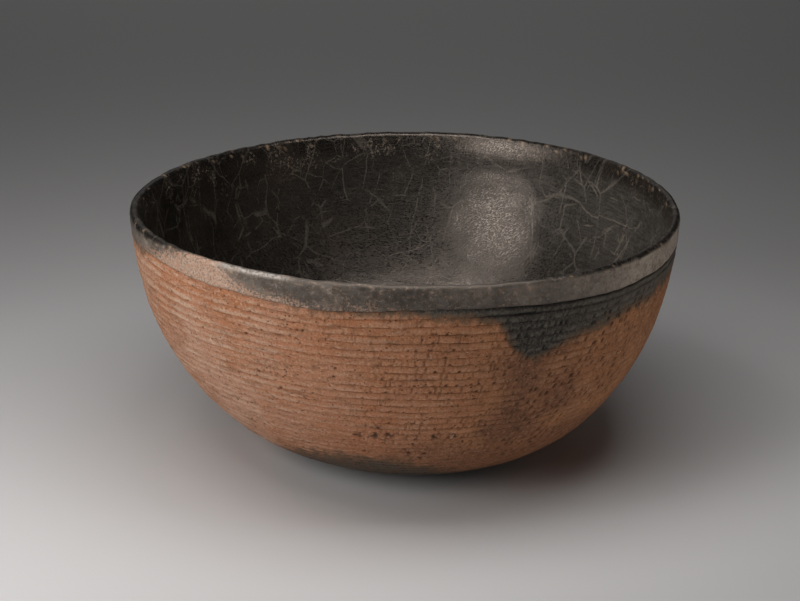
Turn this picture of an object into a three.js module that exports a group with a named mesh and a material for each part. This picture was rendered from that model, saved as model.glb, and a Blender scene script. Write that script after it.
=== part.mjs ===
// A coil-built corrugated clay bowl, dark inside and round the rim.
// The potter starts on a flat pad of clay and winds thin ropes round it in one long spiral.
// Each turn is lapped over the outside of the turn below and scraped flush inside, and a
// broad smooth fillet closes the rim. The ropes stay visible outside as fine corrugation.
// Millimetres, +Z up. The origin is on the floor, under the middle of the rim.

import * as THREE from "three";

// Overall sizes
const rimDiameter = 250;
const bowlHeight = 113;
const footDiameter = 70;
const wallThickness = 4.6;

// How full the side is: two exponents of the curve that runs from the foot to the rim
const sideFullness = 2.16;
const shoulderFullness = 1.83;

// Coils: each rope of clay goes a little more than once round, so its ends wander round the bowl
const ropeCount = 38;
const turnsPerRope = 1.075;
const coilLap = 2.6;
const coilRelief = 0.55;
const bondGap = 0.3;

// Rim fillet
const rimFilletHeight = 8.2;
const lipThickness = 4.2;
const lipRounding = 2.4;
const filletSeamAngle = THREE.MathUtils.degToRad(100);

// What the hand left uneven: out of round along X and along the diagonal, and a wavy rim
const ovalAlongX = -0.9;
const ovalAlongDiagonal = 3.0;
const rimWaveAlongX = -0.4;
const rimWaveAlongDiagonal = 0.75;
const footOffset = 3.1;

// Fineness of the facets
const stepsPerTurn = 40;
const profileSamples = 1500;

const clayOutside = new THREE.MeshStandardMaterial({ color: 0xa8623f, roughness: 0.85, metalness: 0 });
const claySmudged = new THREE.MeshStandardMaterial({ color: 0x3d3835, roughness: 0.55, metalness: 0 });
const clayFoot = new THREE.MeshStandardMaterial({ color: 0x6b5548, roughness: 0.8, metalness: 0 });

const footRadius = footDiameter / 2;
const rimRadius = rimDiameter / 2;

// The outer side as a table of points with the length of clay up to each, from the foot's edge
function sampleSide() {
  const side = [];
  let length = 0;
  for (let i = 0; i <= profileSamples; i += 1) {
    const share = (i / profileSamples) ** 2;
    const opened = (1 - (1 - share) ** shoulderFullness) ** (1 / sideFullness);
    const r = footRadius + (rimRadius - footRadius) * opened;
    const z = bowlHeight * share;
    if (i > 0) {
      length += Math.hypot(r - side[i - 1].r, z - side[i - 1].z);
    }
    side.push({ r, z, length });
  }
  return side;
}

const side = sampleSide();
const sideLength = side[profileSamples].length;

// The point at a length along the outer side, moved in by a depth square to it.
// Lengths below 0 lie on the flat foot.
function wallPoint(along, depth) {
  if (along <= 0) {
    return { r: footRadius + along, z: depth };
  }
  let low = 0;
  let high = profileSamples;
  while (high - low > 1) {
    const middle = Math.floor((low + high) / 2);
    if (side[middle].length <= along) {
      low = middle;
    } else {
      high = middle;
    }
  }
  const from = side[low];
  const to = side[high];
  const span = to.length - from.length;
  const share = (along - from.length) / span;
  const outR = (to.z - from.z) / span;
  const outZ = (from.r - to.r) / span;
  return {
    r: from.r + (to.r - from.r) * share - outR * depth,
    z: from.z + (to.z - from.z) * share - outZ * depth,
  };
}

// Turns a point of the even bowl into its place on the hand-made one
function handMade(point, angle) {
  const share = point.z / bowlHeight;
  const twoX = Math.cos(2 * angle);
  const twoDiagonal = Math.sin(2 * angle);
  const r = point.r + share * (ovalAlongX * twoX + ovalAlongDiagonal * twoDiagonal);
  const lift = share * (rimWaveAlongX * twoX + rimWaveAlongDiagonal * twoDiagonal);
  return new THREE.Vector3(
    r * Math.cos(angle) + footOffset * (1 - share) ** 2,
    r * Math.sin(angle),
    point.z + lift,
  );
}

// The spiral: at each step it has turned by one facet and climbed by its share of the pitch
const stepsPerRope = Math.round(turnsPerRope * stepsPerTurn);
const spiralSteps = ropeCount * stepsPerRope;
const coilPitch = (sideLength - rimFilletHeight) / (spiralSteps / stepsPerTurn + 1);
const spiralStart = filletSeamAngle - (2 * Math.PI * spiralSteps) / stepsPerTurn;

function stepAngle(step) {
  return spiralStart + (2 * Math.PI * step) / stepsPerTurn;
}

function stepHeight(step) {
  return (coilPitch * step) / stepsPerTurn;
}

// A section of clay at a step of the spiral, from [length, depth] pairs
function sectionAt(step, outline) {
  return outline(stepHeight(step)).map(([along, depth]) => handMade(wallPoint(along, depth), stepAngle(step)));
}

// The same between two steps, on the straight facets
function sectionBetween(step, outline) {
  const before = sectionAt(Math.floor(step), outline);
  const after = sectionAt(Math.floor(step) + 1, outline);
  return before.map((point, i) => point.lerp(after[i], step - Math.floor(step)));
}

// A rope's section: inner foot, inner top, shoulder under the next rope, lip over the last rope
function ropeOutline(height) {
  const slant = coilLap / 2;
  const gap = bondGap / 2;
  return [
    [height + slant + gap, wallThickness],
    [height + coilPitch + slant - gap, wallThickness],
    [height + coilPitch - slant - gap, coilRelief],
    [height - slant + gap, 0],
  ];
}

// The rim fillet's section: inner foot, up the inside, round the lip and down to the outer lip
function filletOutline(height) {
  const slant = coilLap / 2;
  const gap = bondGap / 2;
  const middle = lipThickness / 2;
  const corner = middle * Math.SQRT1_2;
  const cornerDrop = lipRounding * (1 - Math.SQRT1_2);
  return [
    [height + slant + gap, wallThickness],
    [sideLength - lipRounding, lipThickness],
    [sideLength - cornerDrop, middle + corner],
    [sideLength, middle],
    [sideLength - cornerDrop, middle - corner],
    [sideLength - lipRounding, 0],
    [height - slant + gap, 0],
  ];
}

function makeGeometry(points, faces) {
  const geometry = new THREE.BufferGeometry();
  geometry.setAttribute("position", new THREE.Float32BufferAttribute(points.flatMap((p) => [p.x, p.y, p.z]), 3));
  geometry.setIndex(faces.flat());
  geometry.computeVertexNormals();
  return geometry;
}

// A closed body through a row of sections, with a flat face on each end
function loftSections(sections) {
  const size = sections[0].length;
  const faces = [];
  for (let row = 0; row + 1 < sections.length; row += 1) {
    for (let i = 0; i < size; i += 1) {
      const a = row * size + i;
      const b = row * size + ((i + 1) % size);
      faces.push([a, b, a + size], [b, b + size, a + size]);
    }
  }
  const last = (sections.length - 1) * size;
  for (let i = 1; i + 1 < size; i += 1) {
    faces.push([0, i + 1, i], [last, last + i, last + i + 1]);
  }
  return makeGeometry(sections.flat(), faces);
}

// Half the bond gap as a share of one step, for the ends that meet there
function endTrim(step) {
  const here = sectionAt(step, ropeOutline)[0];
  const next = sectionAt(step + 1, ropeOutline)[0];
  return bondGap / 2 / here.distanceTo(next);
}

function stretchOfSpiral(firstStep, lastStep, outline) {
  const sections = [sectionBetween(firstStep + endTrim(firstStep), outline)];
  for (let step = firstStep + 1; step < lastStep; step += 1) {
    sections.push(sectionAt(step, outline));
  }
  sections.push(sectionBetween(lastStep - endTrim(lastStep - 1), outline));
  return loftSections(sections);
}

// The pad that the spiral starts round: its edge leaves room for the first turn, one pitch a turn
function baseDisc() {
  const slant = coilLap / 2;
  const gap = bondGap / 2;
  const edge = (height) => [[height - slant - gap, 0], [height + slant - gap, wallThickness]];
  const rows = [];
  for (let step = 0; step < stepsPerTurn; step += 1) {
    rows.push(sectionAt(step, edge));
  }
  rows.push(sectionBetween(stepsPerTurn - endTrim(0), edge));
  const points = rows.flat();
  const under = points.push(new THREE.Vector3(footOffset, 0, 0)) - 1;
  const over = points.push(new THREE.Vector3(footOffset, 0, wallThickness)) - 1;
  const faces = [];
  for (let row = 0; row < rows.length; row += 1) {
    const low = 2 * row;
    const nextLow = 2 * ((row + 1) % rows.length);
    faces.push([low, nextLow, low + 1], [nextLow, nextLow + 1, low + 1]);
    faces.push([under, nextLow, low], [over, low + 1, nextLow + 1]);
  }
  return makeGeometry(points, faces);
}

function namedMesh(name, geometry, material) {
  const mesh = new THREE.Mesh(geometry, material);
  mesh.name = name;
  return mesh;
}

const bowl = new THREE.Group();
bowl.add(namedMesh("base_disc", baseDisc(), clayFoot));

for (let rope = 0; rope < ropeCount; rope += 1) {
  const name = `coil_${String(rope + 1).padStart(2, "0")}`;
  const firstStep = rope * stepsPerRope;
  bowl.add(namedMesh(name, stretchOfSpiral(firstStep, firstStep + stepsPerRope, ropeOutline), clayOutside));
}

const filletEnd = spiralSteps + stepsPerTurn;
bowl.add(namedMesh("rim_fillet", stretchOfSpiral(spiralSteps, filletEnd, filletOutline), claySmudged));

export default bowl;
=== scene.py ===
# Coil-built corrugated bowl, black and burnished inside: its looks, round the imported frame.
import math

import bmesh
import bpy
import numpy as np
from mathutils import Matrix, Vector


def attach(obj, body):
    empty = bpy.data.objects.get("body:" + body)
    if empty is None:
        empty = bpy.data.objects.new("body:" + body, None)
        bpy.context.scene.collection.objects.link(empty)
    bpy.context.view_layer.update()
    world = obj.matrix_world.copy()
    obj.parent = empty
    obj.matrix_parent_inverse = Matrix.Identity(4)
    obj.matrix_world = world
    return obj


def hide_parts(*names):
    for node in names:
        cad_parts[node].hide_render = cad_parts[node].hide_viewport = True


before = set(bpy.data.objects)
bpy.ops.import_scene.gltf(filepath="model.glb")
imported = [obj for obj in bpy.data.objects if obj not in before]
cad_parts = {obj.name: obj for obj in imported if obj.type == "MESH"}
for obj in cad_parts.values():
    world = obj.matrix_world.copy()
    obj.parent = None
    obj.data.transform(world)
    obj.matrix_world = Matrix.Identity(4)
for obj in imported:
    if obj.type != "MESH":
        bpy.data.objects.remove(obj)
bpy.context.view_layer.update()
print("frame loaded:", len(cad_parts), "nodes")

mm = 0.001

# The wall, in millimetres: the same curve that the solids follow.
# A soft noise is given by its size and its seed, here and below.
wall = {
    "rimRadius": 125.0,
    "height": 113.0,
    "footRadius": 35.0,
    "thickness": 4.6,
    "lipThickness": 4.2,
    "sideFullness": 2.16,
    "shoulderFullness": 1.83,
    "ovalAlongX": -0.9,
    "ovalAlongDiagonal": 3.0,
    "ovalFrom": (0.0, 20.0),  # the oval grows between these distances from the middle
    "rimWaveAlongX": -0.4,
    "rimWaveAlongDiagonal": 0.75,
    "footOffset": 3.1,
    "samples": 3000,
    "lumpHeight": 0.45,  # how far the hand-made wall wanders in and out
    "lump": (30.0, 1),
    "smallLump": (10.0, 2),
    "smallLumpShare": 0.4,
    "lumpsFrom": (4.0, 32.0),  # the worn foot stays flat: the lumps grow between these heights
}


def makeSideTable():
    share = np.linspace(0.0, 1.0, wall["samples"] + 1) ** 2
    opened = (1 - (1 - share) ** wall["shoulderFullness"]) ** (1 / wall["sideFullness"])
    radius = wall["footRadius"] + (wall["rimRadius"] - wall["footRadius"]) * opened
    radius = np.concatenate([[0.0], radius])  # the flat foot comes first
    height = np.concatenate([[0.0], wall["height"] * share])
    steps = np.hypot(np.diff(radius), np.diff(height))
    length = np.concatenate([[0.0], np.cumsum(steps)]) - wall["footRadius"]
    outR = np.concatenate([[0.0], np.diff(height) / steps])
    outZ = np.concatenate([[-1.0], -np.diff(radius) / steps])
    return length, radius, height, outR, outZ


sideTable = makeSideTable()
sideLength = sideTable[0][-1]


def wallPoint(along, depth):
    length, radius, height, outR, outZ = sideTable
    r = np.interp(along, length, radius) - np.interp(along, length, outR) * depth
    z = np.interp(along, length, height) - np.interp(along, length, outZ) * depth
    return r, z


noiseCells = 32  # the soft noise repeats after this many cells
noiseTables = {}


def softNoise(x, y, z, noise):
    size, seed = noise
    if seed not in noiseTables:
        noiseTables[seed] = np.random.default_rng(seed).uniform(-1, 1, (noiseCells,) * 3)
    table = noiseTables[seed]
    cells = [np.floor(v / size).astype(int) for v in (x, y, z)]
    fades = [v / size - cell for v, cell in zip((x, y, z), cells)]
    fades = [f * f * (3 - 2 * f) for f in fades]
    total = 0
    for corner in range(8):
        weight = 1
        index = []
        for axis in range(3):
            side = (corner >> axis) & 1
            weight = weight * (fades[axis] if side else 1 - fades[axis])
            index.append((cells[axis] + side) % noiseCells)
        total = total + weight * table[tuple(index)]
    return total


def smoothStep(value, low, high):
    t = np.clip((value - low) / (high - low), 0, 1)
    return t * t * (3 - 2 * t)


def atLeast(least, share):
    return least + (1 - least) * share


def handMade(r, z, angle):
    # moves points of the even bowl to their places on the hand-made one
    share = z / wall["height"]
    twoX = np.cos(2 * angle)
    twoDiagonal = np.sin(2 * angle)
    x = r * np.cos(angle)
    y = r * np.sin(angle)
    lump = softNoise(x, y, z, wall["lump"]) + wall["smallLumpShare"] * softNoise(x, y, z, wall["smallLump"])
    lump = lump * wall["lumpHeight"] * smoothStep(z, *wall["lumpsFrom"])
    oval = wall["ovalAlongX"] * twoX + wall["ovalAlongDiagonal"] * twoDiagonal
    r = r + share * oval * smoothStep(r, *wall["ovalFrom"]) + lump
    lift = share * (wall["rimWaveAlongX"] * twoX + wall["rimWaveAlongDiagonal"] * twoDiagonal)
    x = r * np.cos(angle) + wall["footOffset"] * (1 - share) ** 2
    return np.stack([x, r * np.sin(angle), z + lift], axis=1) * mm


# The spiral of clay ropes. "Rise", here and below, names two heights between which something grows.
spiral = {
    "ropes": 38,
    "turnsPerRope": 1.075,
    "lap": 2.6,  # how far each rope hangs over the one below, seen from outside
    "filletHeight": 8.2,
    "seamAngle": math.radians(100),
    "measuredSteps": 120,  # steps per turn when the length of clay is measured
    "stepLength": 0.55,  # one row of faces along the rope
    "innerDepth": 3.7,
    # the rope's outer face: share of the pitch from its lower lip, and depth below the crest
    "face": [
        (-0.10, 1.50), (-0.03, 0.80), (0.00, 0.44), (0.05, 0.20), (0.13, 0.06), (0.25, 0.0), (0.42, 0.01),
        (0.58, 0.06), (0.72, 0.13), (0.84, 0.22), (0.93, 0.34), (1.00, 0.56), (1.06, 0.95), (1.14, 1.60),
    ],
    "faceDepth": 0.8,  # the part of that depth that comes and goes with the relief
    # where ropes were smoothed over: broad patches, and smaller ones in them
    "patches": (18.0, 10),
    "patchFlatness": 2,  # how much wider than high
    "smallPatches": (5.0, 22),
    "smallPatchFlatness": 3,
    "smallPatchShare": 0.4,
    "patchSpan": (-0.75, 0.45),  # of the noise, from smoothed over to full relief
    "reliefLow": 0.35,  # share of the relief that is left there
    # share of the relief by angle in degrees: strongest at the front, rubbed down at the sides
    "relief": [
        (-180, 0.46), (-140, 0.46), (-118, 0.55), (-95, 0.85), (-70, 0.85), (-56, 0.62), (-35, 0.42),
        (30, 0.40), (120, 0.55), (180, 0.50),
    ],
    "footRelief": 0.35,  # share of the relief that is left at the worn foot
    "footReliefRise": (0.5, 10.0),
    "upperLeft": 0.45,  # how much more relief the bleached side has at the top
    "upperLeftRise": (72.0, 95.0),
    # the ropes just under the band stay sharp at the right: angles, then heights
    "sharpZone": (-84, -66, 40, 90),
    "sharpFrom": (96.0, 100.0),
    "sharpRelief": 1.2,
    "groove": (0.62, 0.28),  # depth, and half its width as a share of the pitch
    "swell": 0.22,  # how much a turn stands out or falls back along its way
    "swellNoise": (9.0, 11),
    "swellRise": (3.0, 12.0),
    "chip": (1.9, 12),  # small crumbs that broke away
    "chipSpan": (0.5, 0.85),
    "chipDepth": 0.30,
    "chipRise": (2.0, 8.0),
    "wander": 0.33,  # how far a bond line strays up and down
    "slowWander": (16.0, 3),
    "quickWander": (16.0 / 3.5, 4),
    "quickShare": 0.9,
    "wanderRise": (0.0, 12.0),
    # the rim band's lower edge against the even spiral, by angle in degrees
    "edgeWave": [
        (-180, 3.0), (-160, 3.4), (-142, 3.0), (-128, 0.6), (-119, 0.3), (-105, -1.2), (-91, 1.0), (-69, 1.0),
        (-51, -1.3), (-38, -1.2), (-18, -0.6), (10, 0.4), (60, -0.5), (100, 0.0), (140, 1.2), (180, 3.0),
    ],
    "edgeWaveRise": (82.0, 101.0),
    "edgeWaveSoftness": 9,  # degrees over which these two lists are softened
    "reliefSoftness": 10,
}
spiralTurns = spiral["ropes"] * spiral["turnsPerRope"]
pitch = (sideLength - spiral["filletHeight"]) / (spiralTurns + 1)
spiralStart = spiral["seamAngle"] - 2 * math.pi * spiralTurns


def wrapDegrees(angle):
    return np.degrees((angle + math.pi) % (2 * math.pi) - math.pi)


def roundTable(points, softness):
    # values by angle, joined up and smoothed round the bowl
    degrees = np.arange(-180, 180)
    values = np.interp(degrees, *np.transpose(points))
    window = np.hanning(2 * softness + 1)
    padded = np.concatenate([values[-softness:], values, values[:softness]])
    values = np.convolve(padded, window / window.sum(), "valid")
    return np.append(degrees, 180), np.append(values, values[0])


waveTable = roundTable(spiral["edgeWave"], spiral["edgeWaveSoftness"])
reliefTable = roundTable(spiral["relief"], spiral["reliefSoftness"])


def bondWander(along, angle):
    r, z = wallPoint(along, 0.0)
    x, y = r * np.cos(angle), r * np.sin(angle)
    slow = softNoise(x, y, z, spiral["slowWander"])
    quick = softNoise(x, y, z, spiral["quickWander"])
    wave = np.interp(wrapDegrees(angle), *waveTable) * smoothStep(z, *spiral["edgeWaveRise"])
    stray = slow + spiral["quickShare"] * quick
    return spiral["wander"] * stray * smoothStep(z, *spiral["wanderRise"]) + wave


def spiralLengths():
    turns = np.linspace(0, spiralTurns, int(spiralTurns * spiral["measuredSteps"]))
    r, z = wallPoint(pitch * turns, 0.0)
    angle = spiralStart + 2 * math.pi * turns
    steps = np.hypot(np.diff(r * np.cos(angle)), np.diff(r * np.sin(angle)))
    return turns, np.concatenate([[0.0], np.cumsum(steps)])


turnTable, lengthTable = spiralLengths()

# Nicks and pits that the potter pressed across the ropes, in millimetres along the rope.
# "from" and "to" are shares of the rope's face, from its lower lip up.
# "firstChance" is where a kind starts in the row of chances.
pressed = {
    "blocks": {
        "spacing": 3.3, "stray": 0.36, "chance": 0.60, "width": 0.36, "depth": 0.50,
        "from": -0.05, "to": 0.95, "lean": 0.6, "firstChance": 0,
    },
    "corners": {
        "spacing": 3.3, "stray": 0.36, "chance": 0.46, "width": 0.58, "depth": 0.90,
        "from": -0.1, "to": 0.34, "lean": 0.6, "firstChance": 5000,
    },
    "pits": {
        "spacing": 4.1, "stray": 0.46, "chance": 0.72, "width": 0.60, "depth": 1.15,
        "from": 0.0, "to": 0.62, "lean": 1.1, "firstChance": 9000,
    },
    "strays": {
        "spacing": 8.0, "stray": 0.50, "chance": 0.40, "width": 0.42, "depth": 0.60,
        "from": -0.05, "to": 0.30, "lean": 0.2, "firstChance": 13000,
    },
    "shallowest": 0.25,  # share of the depth that the lightest press has
    "fadeIn": (-0.08, 0.12),  # across the face, round "from"
    "fadeOut": (-0.18, 0.12),  # and round "to"
    # where each kind lies: angles in degrees at which it starts, is full, fades and has gone
    "blockZone": (-108, -93, -64, -50),
    "pitZone": (-74, -58, 120, 150),
    "zoneNoise": (24.0, 5),
    "zoneStray": 9,
    # and heights between which it grows, then fades, and the share that fades
    "blockRise": (14.0, 34.0),
    "blockFall": (88.0, 96.0),
    "blockLoss": 0.5,
    "pitRise": (6.0, 20.0),
    "pitFall": (92.0, 99.0),
    "pitLoss": 0.7,
    "strayRise": (4.0, 12.0),
    # both kinds are laid in patches: the span of the noise, and what is left between them
    "blockPatches": (14.0, 6),
    "blockPatchSpan": (-0.55, 0.15),
    "blockLeast": 0.15,
    "pitPatches": (9.0, 26),
    "pitPatchSpan": (-0.6, 0.2),
    "pitLeast": 0.25,
    # single marks: angle in degrees, height, width, depth. The wide ones are clusters of small pricks.
    "single": [
        (-101.0, 38.7, 1.9, 1.0), (-97.0, 39.3, 1.9, 1.0), (-93.5, 39.8, 1.9, 0.95), (-82.5, 39.1, 1.9, 1.0),
        (-78.5, 38.8, 1.9, 1.0), (-90.0, 31.0, 0.8, 1.1), (-89.0, 28.1, 0.9, 0.8), (-85.0, 28.1, 0.9, 1.0),
        (-86.0, 25.0, 0.9, 0.9), (-100.5, 28.2, 0.6, 0.9), (-116.5, 59.6, 0.6, 1.0), (-121.0, 65.9, 0.6, 0.9),
        (-110.5, 90.1, 0.5, 0.8), (-109.3, 90.4, 0.5, 0.8), (-105.0, 87.5, 0.5, 0.8),
        (-104.0, 69.8, 0.6, 0.9), (-103.5, 74.1, 0.6, 0.8), (-122.0, 83.6, 0.6, 0.9),
        (-125.5, 35.4, 0.6, 0.8),
    ],
    "edgePower": 1.5,  # how steep the edge of a single mark is
    "clusterFrom": 1.5,  # a mark wider than this is broken up
    "prick": (1.1, 23),
    "prickSpan": (-0.25, 0.15),
}
# three rows of chances: how far a mark strays, how deep it is, and whether it is there
chances = np.random.default_rng(20).uniform(0, 1, (3, 16384))


def pressedRow(distance, across, kind):
    spec = pressed[kind]
    cell = np.floor(distance / spec["spacing"]).astype(int)
    total = np.zeros_like(distance)
    for side in (-1, 0, 1):
        spot = (cell + side + spec["firstChance"]) % chances.shape[1]
        centre = (cell + side + 0.5 + spec["stray"] * (2 * chances[0][spot] - 1)) * spec["spacing"]
        centre = centre + spec["lean"] * (across - 0.5)
        there = chances[2][spot] < spec["chance"]
        deep = spec["depth"] * atLeast(pressed["shallowest"], chances[1][spot]) * there
        total = np.maximum(total, deep * np.exp(-(((distance - centre) / spec["width"]) ** 2)))
    reach = smoothStep(across, *(spec["from"] + edge for edge in pressed["fadeIn"]))
    return total * reach * (1 - smoothStep(across, *(spec["to"] + edge for edge in pressed["fadeOut"])))


def zoneShare(degrees, stray, zone):
    begins, full, fades, gone = zone
    return smoothStep(degrees + stray, begins, full) * (1 - smoothStep(degrees + stray, fades, gone))


def pressedDepth(distance, across, x, y, z, angle):
    degrees = wrapDegrees(angle)
    stray = pressed["zoneStray"] * softNoise(x, y, z, pressed["zoneNoise"])
    patches = smoothStep(softNoise(x, y, z, pressed["blockPatches"]), *pressed["blockPatchSpan"])
    blocks = zoneShare(degrees, stray, pressed["blockZone"]) * atLeast(pressed["blockLeast"], patches)
    blocks = blocks * smoothStep(z, *pressed["blockRise"])
    blocks = blocks * (1 - pressed["blockLoss"] * smoothStep(z, *pressed["blockFall"]))
    pits = zoneShare(degrees, stray, pressed["pitZone"]) * smoothStep(z, *pressed["pitRise"])
    pits = pits * (1 - pressed["pitLoss"] * smoothStep(z, *pressed["pitFall"]))
    patches = smoothStep(softNoise(x, y, z, pressed["pitPatches"]), *pressed["pitPatchSpan"])
    pits = pits * atLeast(pressed["pitLeast"], patches)
    depth = blocks * np.maximum(
        pressedRow(distance, across, "blocks"), pressedRow(distance, across, "corners")
    )
    depth = np.maximum(depth, pits * pressedRow(distance, across, "pits"))
    strays = smoothStep(z, *pressed["strayRise"]) * pressedRow(distance, across, "strays")
    depth = np.maximum(depth, strays)
    for place, height, width, deep in pressed["single"]:
        middle = np.interp(height, sideTable[2], sideTable[1])
        turn = math.radians(place)
        aside = np.hypot(x - middle * math.cos(turn), y - middle * math.sin(turn))
        nearness = np.exp(-((aside ** 2 + (z - height) ** 2) / width ** 2) ** pressed["edgePower"])
        if width > pressed["clusterFrom"]:
            nearness = nearness * smoothStep(softNoise(x, y, z, pressed["prick"]), *pressed["prickSpan"])
        depth = np.maximum(depth, deep * nearness)
    return depth


# Where the fire left its marks, and hands wore them, with some painted sheen among them. The lists give
# values by angle in degrees.
fire = {
    # heights: the soot hangs down from the rim to here
    "sootFloor": [
        (-180, 101), (-164, 101.5), (-156, 102.5), (-150, 104), (-145, 107), (-140, 110.5), (-135, 114),
        (-131, 115), (-128, 113), (-125, 109.5), (-122, 106.5), (-118, 104), (-109, 102),
        (-102, 100), (-96, 101.8), (-90, 101), (-84, 98.8), (-76, 97), (-71.5, 94), (-69, 88), (-66.5, 81),
        (-63.5, 75.5), (-60, 79), (-56, 82), (-49.5, 85), (-40.5, 88), (-28, 89.5), (-10, 91), (20, 96),
        (60, 91), (100, 88), (130, 96), (155, 106), (180, 108),
    ],
    # and the cloud along the bottom reaches up to here
    "bottomTop": [
        (-180, 2), (-150, 8), (-132, 16), (-120, 22), (-104, 23.5), (-92, 23.5), (-84, 18.5), (-74, 13),
        (-58, 9), (0, 3), (90, 14), (180, 4),
    ],
    "bottomStrength": 0.70,
    # their edges stray along the bowl and up it, finely and broadly, and fade over these heights
    "edgeNoise": (12.0, 7),
    "fineEdgeNoise": (4.0, 8),
    "edgeAside": 1.2,
    "edgeUp": 1.6,
    "fineEdgeUp": 0.9,
    "bottomEdgeUp": 2.0,
    "edgeFade": (-4.5, 6.0),
    "bottomFade": (-4.5, 8.0),
    # a dull brown column under the soot, at this angle and between these heights
    "dullNoise": (17.0, 9),
    "columnAngle": -62,
    "columnStray": 6,
    "columnWidth": 9.0,
    "columnStrength": 0.8,
    "columnTop": (92.0, 76.0),
    "columnFoot": (16.0, 40.0),
    # and a dull stretch low down, towards the right
    "lowDull": 0.50,
    "lowDullStray": 6,
    "lowDullTop": (44.0, 26.0),
    "lowDullFrom": (-106, -80),
    # the left side is bleached and rubbed, and paler partly as a painted sheen; the soot turns to brown ash
    # at the right
    "bleachAndSheen": [
        (-180, 1.0), (-150, 1.0), (-128, 0.70), (-112, 0.36), (-95, 0.22), (-75, 0.05), (-40, 0.0), (60, 0.3),
        (130, 0.8), (180, 1.0),
    ],
    # and the right side is a deeper golden brown
    "golden": [
        (-180, 0.0), (-104, 0.0), (-88, 0.30), (-74, 0.65), (-60, 0.90), (-44, 1.0), (-30, 0.95), (-10, 0.6),
        (40, 0.35), (110, 0.1), (180, 0.0),
    ],
    "ash": [
        (-180, 0.4), (-110, 0.3), (-75, 0.15), (-58, 0.1), (-46, 0.5), (-34, 0.9), (10, 0.9), (60, 0.3),
        (180, 0.4),
    ],
    # how worn and grey the top of the lip is
    "lipWear": [
        (-180, 0.0), (-150, 0.1), (-128, 0.9), (-100, 1.0), (-70, 0.8), (-50, 0.4), (-20, 0.1), (10, 0.0),
        (180, 0.0),
    ],
    # how far the black of the inside comes over the lip
    "lipBlack": [
        (-180, 1.0), (-158, 1.0), (-150, 0.85), (-145, 0.65), (-138, 0.35), (-128, 0.10), (-112, 0.05),
        (-80, 0.12), (-68, 0.36), (-54, 0.66), (-42, 0.82), (-30, 0.80), (-12, 0.78), (-2, 1.0), (180, 1.0),
    ],
    # how far the band has turned from grey to taupe
    "taupe": [
        (-180, 0.1), (-128, 0.25), (-116, 0.12), (-105, 0.0), (-88, 0.0), (-72, 0.12), (-60, 0.14),
        (-50, 0.28), (-42, 0.65), (-34, 1.0), (-26, 1.0), (-12, 1.0), (-2, 0.4), (8, 0.0), (180, 0.05),
    ],
    # how far the burnished inside is rubbed grey, which is partly a painted sheen
    "rubbedAndSheen": [
        (-180, 0.0), (-120, 0.0), (-70, 0.2), (-40, 0.7), (0, 1.0), (38, 0.95), (55, 0.55), (72, 0.30),
        (95, 0.30), (120, 0.15), (145, 0.0), (180, 0.0),
    ],
}
# how many degrees each list is softened over
fireSoftness = {
    "sootFloor": 2,
    "bottomTop": 8,
    "bleachAndSheen": 8,
    "golden": 8,
    "ash": 5,
    "lipWear": 8,
    "lipBlack": 5,
    "taupe": 8,
    "rubbedAndSheen": 8,
}
fireTables = {name: roundTable(fire[name], softness) for name, softness in fireSoftness.items()}


def fireAt(name, degrees):
    return np.interp(degrees, *fireTables[name])


def sootAt(x, y, z, angle):
    degrees = wrapDegrees(angle)
    stray = softNoise(x, y, z, fire["edgeNoise"])
    fine = softNoise(x, y, z, fire["fineEdgeNoise"])
    above = z - fireAt("sootFloor", degrees + fire["edgeAside"] * stray)
    above = above + fire["edgeUp"] * stray + fire["fineEdgeUp"] * fine
    below = fireAt("bottomTop", degrees) - z + fire["bottomEdgeUp"] * stray + fine
    hanging = smoothStep(above, *fire["edgeFade"])
    return np.clip(np.maximum(hanging, fire["bottomStrength"] * smoothStep(below, *fire["bottomFade"])), 0, 1)


def dullAt(x, y, z, angle):
    degrees = wrapDegrees(angle)
    stray = softNoise(x, y, z, fire["dullNoise"])
    aside = (degrees - fire["columnAngle"] + fire["columnStray"] * stray) / fire["columnWidth"]
    column = fire["columnStrength"] * np.exp(-(aside ** 2))
    column = column * smoothStep(z, *fire["columnTop"]) * smoothStep(z, *fire["columnFoot"])
    low = fire["lowDull"] * smoothStep(z + fire["lowDullStray"] * stray, *fire["lowDullTop"])
    low = low * smoothStep(degrees, *fire["lowDullFrom"])
    return np.clip(np.maximum(column, low), 0, 1)


# Building the meshes
building = {
    "mergeDistance": 1e-7,
    "sharpAngle": math.radians(75),
}


def gridSheet(name, columns, rows):
    bm = bmesh.new()
    bmesh.ops.create_grid(bm, x_segments=columns, y_segments=rows, size=1.0)
    mesh = bpy.data.meshes.new(name)
    bm.to_mesh(mesh)
    bm.free()
    places = np.empty(3 * len(mesh.vertices), np.float32)
    mesh.vertices.foreach_get("co", places)
    places = places.reshape(-1, 3)
    column = np.round((places[:, 0] + 1) / 2 * columns).astype(int)
    row = np.round((places[:, 1] + 1) / 2 * rows).astype(int)
    return mesh, column, row


def finishPiece(mesh, placed, marks, material, nodeName):
    mesh.vertices.foreach_set("co", placed.astype(np.float32).ravel())
    for label, values in marks.items():
        kind, field = ("FLOAT_VECTOR", "vector") if values.ndim == 2 else ("FLOAT", "value")
        layer = mesh.attributes.new(label, kind, "POINT")
        layer.data.foreach_set(field, values.astype(np.float32).ravel())
    bm = bmesh.new()
    bm.from_mesh(mesh)
    bmesh.ops.remove_doubles(bm, verts=bm.verts[:], dist=building["mergeDistance"])
    bmesh.ops.holes_fill(bm, edges=[e for e in bm.edges if e.is_boundary], sides=0)
    bmesh.ops.recalc_face_normals(bm, faces=bm.faces[:])
    bm.to_mesh(mesh)
    bm.free()
    mesh.polygons.foreach_set("use_smooth", [True] * len(mesh.polygons))
    mesh.set_sharp_from_angle(angle=building["sharpAngle"])
    mesh.update()
    mesh.materials.append(material)
    piece = bpy.data.objects.new(mesh.name, mesh)
    bpy.context.scene.collection.objects.link(piece)
    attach(piece, "root")
    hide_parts(nodeName)
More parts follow.
